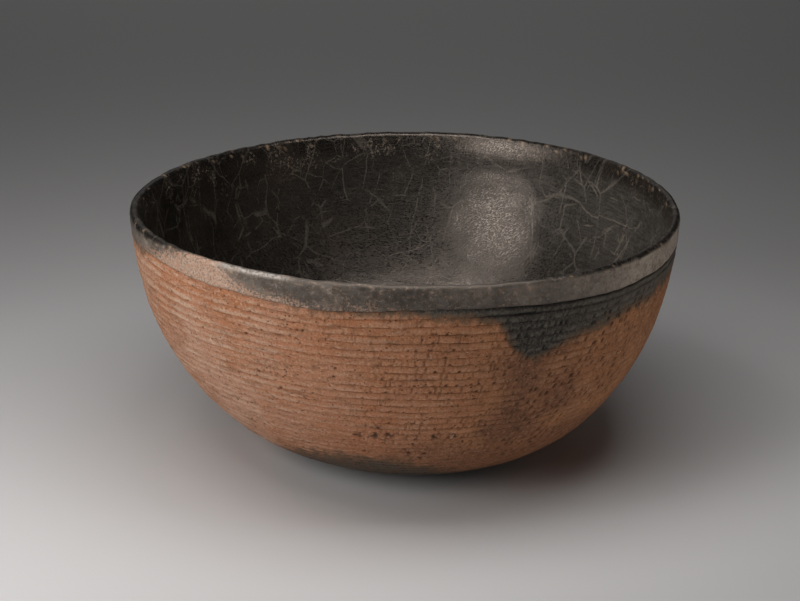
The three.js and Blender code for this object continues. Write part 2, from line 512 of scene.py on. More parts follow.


# How the shape of a rope sets its painted shade, partly dirt, in creases, grooves, chips and nicks, and its
# pale wear and painted highlight on the crests
ropeShadeAndWear = {
    "hollowFrom": 0.06,  # depth at which the painted shade in a crease starts, and over which it gets full
    "hollowOver": 0.55,
    "bleachedHollow": 0.35,  # share of that which the bleached side loses
    "chipHollow": 0.5,
    "grooveHollow": 1.2,
    "nickFull": 0.62,  # a nick as deep as this gets the full painted shade
    "crestDepth": 0.16,  # the crest ends at this depth, and sooner beside nicks and in swells
    "crestByNick": 4,
    "crestBySwell": 2,
}


def ropeRelief(x, y, z, degrees, bleachAndSheen):
    broad = softNoise(x, y, spiral["patchFlatness"] * z, spiral["patches"])
    small = softNoise(x, y, spiral["smallPatchFlatness"] * z, spiral["smallPatches"])
    relief = smoothStep(broad + spiral["smallPatchShare"] * small, *spiral["patchSpan"])
    relief = atLeast(spiral["reliefLow"], relief) * np.interp(degrees, *reliefTable)
    relief = relief * atLeast(spiral["footRelief"], smoothStep(z, *spiral["footReliefRise"]))
    return relief * (1 + spiral["upperLeft"] * bleachAndSheen * smoothStep(z, *spiral["upperLeftRise"]))


def ropePiece(number, material):
    turnsFrom = number * spiral["turnsPerRope"]
    turnsTo = turnsFrom + spiral["turnsPerRope"]
    ropeLength = np.interp(turnsTo, turnTable, lengthTable) - np.interp(turnsFrom, turnTable, lengthTable)
    steps = int(ropeLength / spiral["stepLength"])
    face = np.array(spiral["face"])
    corners = len(face) + 2  # two more on the inside of the wall
    name = f"coil_{number + 1:02d}"
    mesh, corner, step = gridSheet(name + "_clay", corners, steps)
    corner = corner % corners  # the last column closes the tube on the first
    turns = turnsFrom + (turnsTo - turnsFrom) * step / steps
    angle = spiralStart + 2 * math.pi * turns
    degrees = wrapDegrees(angle)
    lower = pitch * turns - spiral["lap"] / 2
    across = np.concatenate([face[:, 0], [1.0, 0.0]])[corner]
    depth = np.concatenate([face[:, 1], [spiral["innerDepth"]] * 2])[corner]
    outside = corner < len(face)

    between = np.clip(across, 0, 1)
    wander = (1 - between) * bondWander(lower, angle) + between * bondWander(lower + pitch, angle)
    along = lower + across * pitch + wander + np.where(outside, 0, spiral["lap"])
    r, z = wallPoint(along, 0.0)
    x, y = r * np.cos(angle), r * np.sin(angle)

    bleachAndSheen = fireAt("bleachAndSheen", degrees)
    sharp = zoneShare(degrees, 0, spiral["sharpZone"]) * smoothStep(z, *spiral["sharpFrom"])
    relief = np.maximum(ropeRelief(x, y, z, degrees, bleachAndSheen), spiral["sharpRelief"] * sharp)
    grooveDepth, grooveWidth = spiral["groove"]
    toEdge = np.minimum(np.abs(across), np.abs(across - 1))
    groove = grooveDepth * sharp * np.exp(-((toEdge / grooveWidth) ** 2))
    # a swell stays on its own turn: its noise is read by the turn and not by the height
    swell = spiral["swell"] * softNoise(x, y, turns * spiral["swellNoise"][0], spiral["swellNoise"])
    swell = swell * np.sin(math.pi * between) * smoothStep(z, *spiral["swellRise"])
    distance = np.interp(turns, turnTable, lengthTable)
    nick = pressedDepth(distance, across, x, y, z, angle)
    chip = spiral["chipDepth"] * smoothStep(softNoise(x, y, z, spiral["chip"]), *spiral["chipSpan"])
    chip = chip * smoothStep(z, *spiral["chipRise"])
    # hollow and nick: painted shade, partly dirt, in creases, grooves, chips and nicks; crest: pale wear and
    # a painted highlight
    shallow = np.clip(depth, 0, spiral["faceDepth"])
    hollow = np.clip((shallow * relief - ropeShadeAndWear["hollowFrom"]) / ropeShadeAndWear["hollowOver"], 0, 1)
    hollow = hollow * (1 - ropeShadeAndWear["bleachedHollow"] * bleachAndSheen)
    hollow = hollow + ropeShadeAndWear["chipHollow"] * chip + ropeShadeAndWear["grooveHollow"] * groove
    crest = 1 - (shallow / ropeShadeAndWear["crestDepth"])
    crest = crest - nick * ropeShadeAndWear["crestByNick"] - swell * ropeShadeAndWear["crestBySwell"]
    depth = np.where(outside, depth + shallow * (relief - 1) + nick + chip + swell + groove, depth)
    marks = {
        "hollow": np.where(outside, np.clip(hollow, 0, 1), 1),
        "nick": np.where(outside, np.clip(nick / ropeShadeAndWear["nickFull"], 0, 1), 0),
        "crest": np.where(outside, np.clip(crest, 0, 1), 0),
        "soot": sootAt(x, y, z, angle),
        "dull": dullAt(x, y, z, angle),
        "bleachAndSheen": bleachAndSheen,
        "ash": fireAt("ash", degrees),
        "golden": fireAt("golden", degrees),
    }
    r, z = wallPoint(along, depth)
    finishPiece(mesh, handMade(r, z, angle), marks, material, name)


# The pad under the bowl
base = {
    "steps": 220,
    "underRows": 22,
    "edgeRows": 4,
    "backRows": 8,
    "edgeLap": 0.3,  # how far its edge reaches under the first rope
    "worn": 0.12,  # the middle is worn off by this much
    "wornNoise": (5.0, 13),
    "wornDepth": (0.2, 0.0),  # only the underside, and less towards its edge
    "wornOut": (34.0, 20.0),
    "pitNoise": (3.0, 14),  # darker in its small pits, and at its edge
    "pitSpan": (0.2, 0.8),
    "pitDarkness": 0.3,
    "edgeDarkness": 2,
    "dullNoise": (15.0, 15),
    "bleachAndSheen": 0.3,
    "ash": 0.5,
    "golden": 0.3,
}


def basePiece(material):
    rows = base["underRows"] + base["edgeRows"] + base["backRows"]
    mesh, column, row = gridSheet("base_disc_clay", base["steps"], rows)
    turned = column % base["steps"]
    angle = spiralStart + 2 * math.pi * turned / base["steps"]
    edge = pitch * turned / base["steps"] - spiral["lap"] / 2 + base["edgeLap"]
    share = np.clip(row / base["underRows"], 0, 1)
    edgeShare = np.clip((row - base["underRows"]) / base["edgeRows"], 0, 1)
    backShare = np.clip((row - base["underRows"] - base["edgeRows"]) / base["backRows"], 0, 1)
    along = -wall["footRadius"] + (edge + wall["footRadius"]) * share * (1 - backShare)
    depth = spiral["innerDepth"] * edgeShare ** 2
    r, z = wallPoint(along, depth)
    x, y = r * np.cos(angle), r * np.sin(angle)
    worn = base["worn"] * (1 + softNoise(x, y, z, base["wornNoise"]))
    worn = worn * smoothStep(depth, *base["wornDepth"]) * smoothStep(r, *base["wornOut"])
    pits = smoothStep(softNoise(x, y, z, base["pitNoise"]), *base["pitSpan"])
    marks = {
        "hollow": np.clip(edgeShare * base["edgeDarkness"] + base["pitDarkness"] * pits, 0, 1),
        "nick": 0 * r,
        "crest": 0 * r,
        "soot": sootAt(x, y, z, angle),
        "dull": np.clip(0.5 + 0.5 * softNoise(x, y, z, base["dullNoise"]), 0, 1),
        "bleachAndSheen": 0 * r + base["bleachAndSheen"],
        "ash": 0 * r + base["ash"],
        "golden": 0 * r + base["golden"],
    }
    finishPiece(mesh, handMade(r, z + worn, angle), marks, material, "base_disc")


# The rim band and the burnished inside, one skin over the lip
rim = {
    "steps": 520,
    "insideRows": 110,
    "lipRows": 9,
    "bandRows": 16,
    "underRows": 5,
    "backRows": 30,
    "insideCrowding": 0.9,  # below 1, the rows lie closer together towards the lip
    "lipRound": 2.4,
    "skin": 1.3,  # thickness of the burnished layer behind the inside face
    "seamBlend": 0.03,  # share of a turn over which the band's end is smoothed out
    # depth of the inside face by distance below the lip: it flares at the top
    "insideDepth": [
        (0.0, 4.0), (2.4, 4.2), (5.0, 4.75), (8.5, 5.25), (12.0, 5.30), (18.0, 4.85), (28.0, 4.6),
        (400.0, 4.6),
    ],
    # the band's lower edge tucks in: length above the bond line, and depth
    "underPath": [(0.5, 0.0), (0.12, 0.14), (0.0, 0.42), (0.06, 0.9), (0.5, 1.8), (2.4, 3.3)],
    "burnishHeight": 0.10,  # flat strokes of the polishing stone
    "burnish": (11.0, 16),
    "burnishFlatness": 2.2,
    "smallBurnish": (3.5, 17),
    "smallBurnishFlatness": 3,
    "smallBurnishShare": 0.5,
    "chip": (1.7, 18),  # chips at the lip
    "chipSpan": (0.58, 0.85),
    "chipRise": (107.5, 110.5),
    "chipDepth": 0.45,
    "chipInside": 0.6,
    "chipOnBand": 0.5,
    "dip": (6.0, 19),  # dips in the top of the lip
    "dipDepth": 0.6,
    "blackNoise": (5.0, 24),  # how the edge of the black strays
    "blackStray": 0.16,
    # across the lip the black fades between these shares: with no reach, and what a full reach adds
    "blackStart": (0.22, 0.70),
    "blackEnd": (0.50, 0.75),
    "blackOnBand": (0.84, 1.0),  # past this reach it runs on over the band, down to the shares below
    "blackOnBandEnd": (0.05, 0.22),
    "rubbedOut": (110.0, 175.0),  # along the inside from its middle, then down from the lip
    "rubbedBelowLip": (3.0, 11.0),
    "taupeNoise": (10.0, 21),
    "taupeStray": 0.2,
    "hollowStart": 0.3,  # painted shade where the lower edge tucks in
    "glintZone": (-131, -125, -114, -109),  # the polished stretch of the lip, with a painted glint, angles in degrees
    "glintNoise": (8.0, 25),
    "glintStray": 2,
    "glintRise": (0.50, 0.70),  # across the lip
    "glintFall": (0.75, 0.95),
}


def bandLower(angle):
    share = ((angle - spiral["seamAngle"]) / (2 * math.pi)) % 1.0
    climb = share - smoothStep(share, 1 - rim["seamBlend"], 1.0)
    lower = pitch * (spiralTurns + climb) - spiral["lap"] / 2
    return lower + bondWander(lower, angle)


def rimPiece(material):
    counts = [rim[key] for key in ("insideRows", "lipRows", "bandRows", "underRows", "backRows")]
    mesh, column, row = gridSheet("rim_and_inside_clay", rim["steps"], sum(counts))
    angle = 2 * math.pi * (column % rim["steps"]) / rim["steps"]
    degrees = wrapDegrees(angle)
    starts = np.concatenate([[0], np.cumsum(counts)])
    part = np.clip(np.searchsorted(starts, row, side="right") - 1, 0, len(counts) - 1)
    share = (row - starts[part]) / np.array(counts)[part]
    onInside, onLip, onBand, onUnder, onBack = [part == number for number in range(len(counts))]
    lower = bandLower(angle)
    topOfSide = sideLength - rim["lipRound"]
    footRadius = wall["footRadius"]

    insideAlong = -footRadius + (topOfSide + footRadius) * share ** rim["insideCrowding"]
    insideDepth = np.interp(sideLength - insideAlong, *np.transpose(rim["insideDepth"]))
    half = wall["lipThickness"] / 2
    lipAlong = topOfSide + rim["lipRound"] * np.sin(math.pi * share)
    lipDepth = half + half * np.cos(math.pi * share)
    underPath = np.array(rim["underPath"])
    lap, tuck = underPath[0, 0], underPath[-1, 0]
    bandAlong = topOfSide + (lower + lap - topOfSide) * share
    underAlong = lower + np.interp(share * rim["underRows"], range(len(underPath)), underPath[:, 0])
    underDepth = np.interp(share * rim["underRows"], range(len(underPath)), underPath[:, 1])
    backDepth = wall["thickness"] - rim["skin"]
    backAlong = lower + tuck + (-footRadius - lower - tuck) * share
    sides = [onInside, onLip, onBand, onUnder]
    along = np.select(sides, [insideAlong, lipAlong, bandAlong, underAlong], backAlong)
    depth = np.select(sides, [insideDepth, lipDepth, 0 * share, underDepth], backDepth)

    r, z = wallPoint(along, 0.0)
    x, y = r * np.cos(angle), r * np.sin(angle)
    small = softNoise(x, y, rim["smallBurnishFlatness"] * z, rim["smallBurnish"])
    burnish = softNoise(x, y, rim["burnishFlatness"] * z, rim["burnish"]) + rim["smallBurnishShare"] * small
    burnish = np.abs(rim["burnishHeight"] * burnish)
    chipped = smoothStep(softNoise(x, y, z, rim["chip"]), *rim["chipSpan"]) * smoothStep(z, *rim["chipRise"])
    chips = rim["chipDepth"] * chipped
    depth = np.where(onInside, depth - burnish - rim["chipInside"] * chips, depth)
    facingOut = onBand | (onLip & (share > 0.5))
    depth = np.where(facingOut, depth + burnish + rim["chipOnBand"] * chips, depth)
    dip = rim["dipDepth"] * np.sin(math.pi * share) * np.abs(softNoise(x, y, z, rim["dip"]))

    spreadRadius = along + footRadius
    reach = 1 + rim["blackStray"] * softNoise(x, y, z, rim["blackNoise"])
    reach = fireAt("lipBlack", degrees) * reach
    fades = [start + perReach * reach for start, perReach in (rim["blackStart"], rim["blackEnd"])]
    overLip = 1 - smoothStep(share, *fades)
    overBand = smoothStep(reach, *rim["blackOnBand"]) * (1 - smoothStep(share, *rim["blackOnBandEnd"]))
    belowLip = np.where(onInside, smoothStep(topOfSide - along, *rim["rubbedBelowLip"]), 0)
    glint = zoneShare(degrees, rim["glintStray"] * softNoise(x, y, z, rim["glintNoise"]), rim["glintZone"])
    acrossLip = smoothStep(share, *rim["glintRise"]) * (1 - smoothStep(share, *rim["glintFall"]))
    taupe = fireAt("taupe", degrees) + rim["taupeStray"] * softNoise(x, y, z, rim["taupeNoise"])
    tucked = np.clip(rim["hollowStart"] + share, 0, 1)
    marks = {
        "inside": np.select([onInside, onLip, onBand], [1 + 0 * share, overLip, overBand], 0.0),
        "spread": np.stack([spreadRadius * np.cos(angle), spreadRadius * np.sin(angle), 0 * r], axis=1),
        "chip": np.clip(chipped, 0, 1),
        "hollow": np.select([onUnder, onBack], [tucked, 1.0], 0.0),
        "soot": sootAt(x, y, z, angle),
        "taupe": np.clip(taupe, 0, 1),
        "lip": np.where(onLip, np.sin(math.pi * share) * fireAt("lipWear", degrees), 0),
        "rubbedAndSheen": fireAt("rubbedAndSheen", degrees) * smoothStep(spreadRadius, *rim["rubbedOut"]) * belowLip,
        "glint": np.where(onLip, acrossLip, 0) * glint,
    }
    r, z = wallPoint(along - np.where(onLip, dip, 0), depth)
    finishPiece(mesh, handMade(r, z, angle), marks, material, "rim_fillet")


# Materials
def newMaterial(name):
    material = bpy.data.materials.new(name)
    material.use_nodes = True
    tree = material.node_tree
    tree.nodes.clear()
    output = tree.nodes.new("ShaderNodeOutputMaterial")
    shader = tree.nodes.new("ShaderNodeBsdfPrincipled")
    tree.links.new(shader.outputs["BSDF"], output.inputs["Surface"])
    return material, tree, shader


def feed(tree, socket, value):
    if isinstance(value, bpy.types.NodeSocket):
        tree.links.new(value, socket)
    elif isinstance(value, (tuple, list)) and len(value) == 3 and socket.type == "RGBA":
        socket.default_value = (*value, 1.0)
    else:
        socket.default_value = value


def calc(tree, operation, first, second):
    node = tree.nodes.new("ShaderNodeMath")
    node.operation = operation
    feed(tree, node.inputs[0], first)
    feed(tree, node.inputs[1], second)
    return node.outputs[0]


def times(tree, first, second):
    return calc(tree, "MULTIPLY", first, second)


def plus(tree, first, second):
    return calc(tree, "ADD", first, second)


def minus(tree, first, second):
    return calc(tree, "SUBTRACT", first, second)


def strongest(tree, values):
    best = values[0]
    for value in values[1:]:
        best = calc(tree, "MAXIMUM", best, value)
    return best


def spanOf(tree, value, low, high, start=0.0, end=1.0):
    # from low to high, the result goes softly from start to end
    node = tree.nodes.new("ShaderNodeMapRange")
    node.interpolation_type = "SMOOTHSTEP"
    for socket, number in zip(node.inputs, (value, low, high, start, end)):
        feed(tree, socket, number)
    return node.outputs[0]


def mixed(tree, share, first, second):
    node = tree.nodes.new("ShaderNodeMix")
    node.data_type = "RGBA"
    feed(tree, node.inputs["Factor"], share)
    feed(tree, node.inputs[6], first)  # the colour sockets A, B and Result
    feed(tree, node.inputs[7], second)
    return node.outputs[2]


def attribute(tree, name):
    node = tree.nodes.new("ShaderNodeAttribute")
    node.attribute_name = name
    return node.outputs["Vector"] if name == "spread" else node.outputs["Fac"]


def placeIn(tree, scale=(1.0, 1.0, 1.0), turn=0.0, source=None):
    # object coordinates in millimetres, or another source, stretched and turned about Z
    node = tree.nodes.new("ShaderNodeMapping")
    if source is None:
        source = tree.nodes.new("ShaderNodeTexCoord").outputs["Object"]
        scale = tuple(s / mm for s in scale)
    tree.links.new(source, node.inputs["Vector"])
    node.inputs["Scale"].default_value = scale
    node.inputs["Rotation"].default_value = (0.0, 0.0, turn)
    return node.outputs["Vector"]


shiftPerSeed = (37.0, -53.0, 11.0)


def movedPlace(tree, place, seed):
    # the same place, moved so far that a pattern looks new
    node = tree.nodes.new("ShaderNodeMapping")
    tree.links.new(place, node.inputs["Vector"])
    node.inputs["Location"].default_value = [shift * seed for shift in shiftPerSeed]
    return node.outputs["Vector"]


def noiseOf(tree, place, size, detail=2.0, rough=0.5, distortion=0.0, output="Fac"):
    node = tree.nodes.new("ShaderNodeTexNoise")
    tree.links.new(place, node.inputs["Vector"])
    node.inputs["Scale"].default_value = 1.0 / size
    node.inputs["Detail"].default_value = detail
    node.inputs["Roughness"].default_value = rough
    node.inputs["Distortion"].default_value = distortion
    return node.outputs[output]


def layerOf(tree, place, layer):
    # a layer is a noise, and the span of it over which something comes in
    noise, span = layer
    return spanOf(tree, noiseOf(tree, place, *noise), *span)


def cellsOf(tree, place, size, feature="F1"):
    node = tree.nodes.new("ShaderNodeTexVoronoi")
    node.feature = feature
    tree.links.new(place, node.inputs["Vector"])
    node.inputs["Scale"].default_value = 1.0 / size
    return node.outputs["Distance"]


def bumped(tree, shader, height, distance):
    node = tree.nodes.new("ShaderNodeBump")
    node.inputs["Distance"].default_value = distance * mm
    tree.links.new(height, node.inputs["Height"])
    tree.links.new(node.outputs["Normal"], shader.inputs["Normal"])


# Sizes in a crack are shares of the size of its cells
crack = {
    "bendSize": 1 / 1.2,
    "bendDetail": (4.0, 0.50),
    "widthSize": 0.35,
    "widthSpan": (0.35, 0.65, 0.7, 1.9),
    "edge": (0.3, 1.15),  # shares of its width at which it is full and has gone
}


def crackLines(tree, place, size, width, bend, seed):
    # the edges of large cells, bent by a noise: long thin lines that fork, of an uneven width
    place = movedPlace(tree, place, seed)
    bent = tree.nodes.new("ShaderNodeVectorMath")
    bent.operation = "MULTIPLY_ADD"
    sway = noiseOf(tree, place, crack["bendSize"] * size, *crack["bendDetail"], output="Color")
    tree.links.new(sway, bent.inputs[0])
    bent.inputs[1].default_value = (bend, bend, 0.0)
    tree.links.new(place, bent.inputs[2])
    away = cellsOf(tree, bent.outputs[0], size, "DISTANCE_TO_EDGE")
    uneven = layerOf(tree, place, ((crack["widthSize"] * size, 2.0), crack["widthSpan"]))
    full, gone = (share * width / size for share in crack["edge"])
    return spanOf(tree, times(tree, away, uneven), full, gone, 1.0, 0.0)


# The clay outside. A noise is its size in millimetres, detail, roughness and distortion. A span is
# where in a noise or a mark something begins and is full, then how weak and how strong it is.
clayColours = {
    "orange": (0.43, 0.168, 0.074),
    "golden": (0.36, 0.147, 0.058),
    "goldenPale": (0.46, 0.200, 0.080),
    "pink": (0.50, 0.265, 0.170),
    "brown": (0.24, 0.092, 0.040),
    "tan": (0.37, 0.215, 0.125),
    "pale": (0.66, 0.47, 0.34),
    "dirtAndShade": (0.060, 0.026, 0.014),
    "sootDeep": (0.009, 0.008, 0.007),
    "soot": (0.030, 0.028, 0.024),
    "sootPale": (0.145, 0.128, 0.102),
    "ash": (0.110, 0.088, 0.066),
    "sootBrown": (0.145, 0.088, 0.050),
    "dull": (0.155, 0.068, 0.036),
}
clay = {
    "flatten": (1.0, 1.0, 3.0),  # stretches along the ropes, by squeezing heights
    "streak": (1.0, 1.0, 4.5),
    "ragged": (3.2, 4.0, 0.7),
    "grain": (0.95, 3.0, 0.65),
    # the bare clay, and the pale wear on it
    "pink": ((42.0, 3.0, 0.55, 0.6), (0.32, 0.62)),
    "pinkByBleach": (0.0, 1.0, 0.15, 0.95),
    "brown": ((13.0, 4.0, 0.62, 0.4), (0.48, 0.70, 0.0, 0.65)),
    "tan": ((7.0, 4.0, 0.65), (0.50, 0.72, 0.0, 0.60)),
    "goldenPale": ((19.0, 3.0, 0.6), (0.46, 0.60)),
    "goldenShare": 0.80,
    "dullByRagged": (0.25, 0.6, 0.6, 1.0),
    "worn": ((13.0, 5.0, 0.7), (0.38, 0.62, 0.0, 0.64)),
    "wornByBleach": (0.0, 1.0, 0.25, 1.0),
    "dashes": ((5.0, 3.0, 0.7), (0.57, 0.72, 0.0, 0.27)),
    "dashesByBleach": (0.0, 1.0, 0.35, 1.0),
    "wornByDull": (0.0, 0.9, 1.0, 0.15),
    "paleGrain": (0.53, 0.70, 0.0, 0.45),
    "paleGrainByGolden": (0.0, 1.0, 1.0, 0.45),
    "darkGrain": (0.46, 0.30, 0.0, 0.60),
    # soot: how ragged its edge is, what shows through it, how pale its crests are with wear and a painted
    # highlight, and how it thins out
    "sootRagged": (0.3, 0.7, -0.22, 0.22),
    "sootGrain": (0.47, 0.66, 0.0, 0.70),
    "sootWearAndHighlight": (0.38, 0.60, 0.0, 0.90),
    "sootBrown": (0.02, 0.45, 0.0, 0.80),
    "sootBlack": (0.30, 0.92, 0.0, 0.97),
    "deepBySoot": (0.1, 0.6),
    # painted shade, partly dirt, in the creases and nicks, darker specks in small holes, and pale scuffs
    "creases": ((9.0, 3.0, 0.6), (0.40, 0.58, 0.20, 0.88)),
    "nickShare": 0.88,
    "speckStretch": (1.0, 1.0, 1.3),
    "speckSize": 2.7,
    "speckSpan": (0.10, 0.19, 1.0, 0.0),
    "speckPatches": ((8.0,), (0.46, 0.58)),
    "speckShare": 0.85,
    "scuffStretch": (1.0, 1.0, 0.6),
    "scuffs": (24.0, 0.32, 8.0, 3),  # size of the cells, width, bend, seed
    "scuffPatches": ((7.0,), (0.63, 0.69, 0.0, 0.6)),
    "scuffsBySoot": (0.0, 0.4, 1.0, 0.0),
    "roughness": (0.3, 0.7, 0.74, 0.92),
    "specular": 0.35,
    # bump: grain, fine lines drawn along the ropes by the scraper, and small holes
    "drawnStretch": (0.22, 0.22, 1.5),
    "drawn": (1.0, 2.0, 0.6),
    "drawnHeight": 0.9,
    "speckHeight": 1.2,
    "bump": 0.32,
}


def firedClay(tree, place, ragged, grain):
    # the bare clay: orange, pink where it is bleached, which is partly a painted sheen, and golden at the
    # right, with pale wear
    c = clayColours
    streaks = placeIn(tree, scale=clay["streak"])
    bleachAndSheen = attribute(tree, "bleachAndSheen")
    golden = attribute(tree, "golden")
    pinkShare = layerOf(tree, place, clay["pink"])
    pinkShare = times(tree, pinkShare, spanOf(tree, bleachAndSheen, *clay["pinkByBleach"]))
    colour = mixed(tree, pinkShare, c["orange"], c["pink"])
    colour = mixed(tree, layerOf(tree, streaks, clay["brown"]), colour, c["brown"])
    colour = mixed(tree, layerOf(tree, streaks, clay["tan"]), colour, c["tan"])
    goldenClay = mixed(tree, layerOf(tree, place, clay["goldenPale"]), c["golden"], c["goldenPale"])
    colour = mixed(tree, times(tree, golden, clay["goldenShare"]), colour, goldenClay)
    dull = attribute(tree, "dull")
    dullShare = times(tree, dull, spanOf(tree, ragged, *clay["dullByRagged"]))
    colour = mixed(tree, dullShare, colour, c["dull"])

    # pale along the crests, partly wear and partly a painted highlight on the ridges, and pale wear in short
    # dashes, most of it at the bleached side
    worn = layerOf(tree, placeIn(tree, scale=clay["flatten"]), clay["worn"])
    worn = times(tree, worn, attribute(tree, "crest"))
    worn = times(tree, worn, spanOf(tree, bleachAndSheen, *clay["wornByBleach"]))
    dashes = layerOf(tree, streaks, clay["dashes"])
    dashes = times(tree, dashes, spanOf(tree, bleachAndSheen, *clay["dashesByBleach"]))
    worn = times(tree, strongest(tree, [worn, dashes]), spanOf(tree, dull, *clay["wornByDull"]))
    colour = mixed(tree, worn, colour, c["pale"])
    paleGrain = spanOf(tree, golden, *clay["paleGrainByGolden"])
    paleGrain = times(tree, spanOf(tree, grain, *clay["paleGrain"]), paleGrain)
    colour = mixed(tree, paleGrain, colour, c["pale"])
    return mixed(tree, spanOf(tree, grain, *clay["darkGrain"]), colour, c["dirtAndShade"])


def corrugatedClay():
    material, tree, shader = newMaterial("corrugatedClay")
    c = clayColours
    place = placeIn(tree)
    ragged = noiseOf(tree, place, *clay["ragged"])
    grain = noiseOf(tree, place, *clay["grain"])
    colour = firedClay(tree, place, ragged, grain)

    # soot: brown where it thins out, then black, with ash at the right, and crests paler with wear and a
    # painted highlight
    sooty = plus(tree, attribute(tree, "soot"), spanOf(tree, ragged, *clay["sootRagged"]))
    sootColour = mixed(tree, attribute(tree, "ash"), c["soot"], c["ash"])
    sootColour = mixed(tree, spanOf(tree, grain, *clay["sootGrain"]), sootColour, c["sootPale"])
    sootWearAndHighlight = times(tree, attribute(tree, "crest"), spanOf(tree, ragged, *clay["sootWearAndHighlight"]))
    sootColour = mixed(tree, sootWearAndHighlight, sootColour, c["sootPale"])
    colour = mixed(tree, spanOf(tree, sooty, *clay["sootBrown"]), colour, c["sootBrown"])
    colour = mixed(tree, spanOf(tree, sooty, *clay["sootBlack"]), colour, sootColour)

    # painted shade, partly dirt, in the creases and nicks: reddish brown on the bare clay, near black under
    # the soot
    deep = mixed(tree, spanOf(tree, sooty, *clay["deepBySoot"]), c["dirtAndShade"], c["sootDeep"])
    creases = layerOf(tree, placeIn(tree, scale=clay["flatten"]), clay["creases"])
    colour = mixed(tree, times(tree, attribute(tree, "hollow"), creases), colour, deep)
    colour = mixed(tree, times(tree, attribute(tree, "nick"), clay["nickShare"]), colour, deep)
    specks = cellsOf(tree, placeIn(tree, scale=clay["speckStretch"]), clay["speckSize"])
    specks = times(tree, spanOf(tree, specks, *clay["speckSpan"]), layerOf(tree, place, clay["speckPatches"]))
    colour = mixed(tree, times(tree, specks, clay["speckShare"]), colour, c["dirtAndShade"])
    scuffs = crackLines(tree, placeIn(tree, scale=clay["scuffStretch"]), *clay["scuffs"])
    scuffs = times(tree, scuffs, layerOf(tree, place, clay["scuffPatches"]))
    scuffs = times(tree, scuffs, spanOf(tree, attribute(tree, "soot"), *clay["scuffsBySoot"]))
    colour = mixed(tree, scuffs, colour, c["pale"])
    tree.links.new(colour, shader.inputs["Base Color"])
    tree.links.new(spanOf(tree, ragged, *clay["roughness"]), shader.inputs["Roughness"])
    shader.inputs["Specular IOR Level"].default_value = clay["specular"]

    drawn = noiseOf(tree, placeIn(tree, scale=clay["drawnStretch"]), *clay["drawn"])
    height = plus(tree, grain, times(tree, drawn, clay["drawnHeight"]))
    height = minus(tree, height, times(tree, specks, clay["speckHeight"]))
    bumped(tree, shader, height, clay["bump"])
    return material


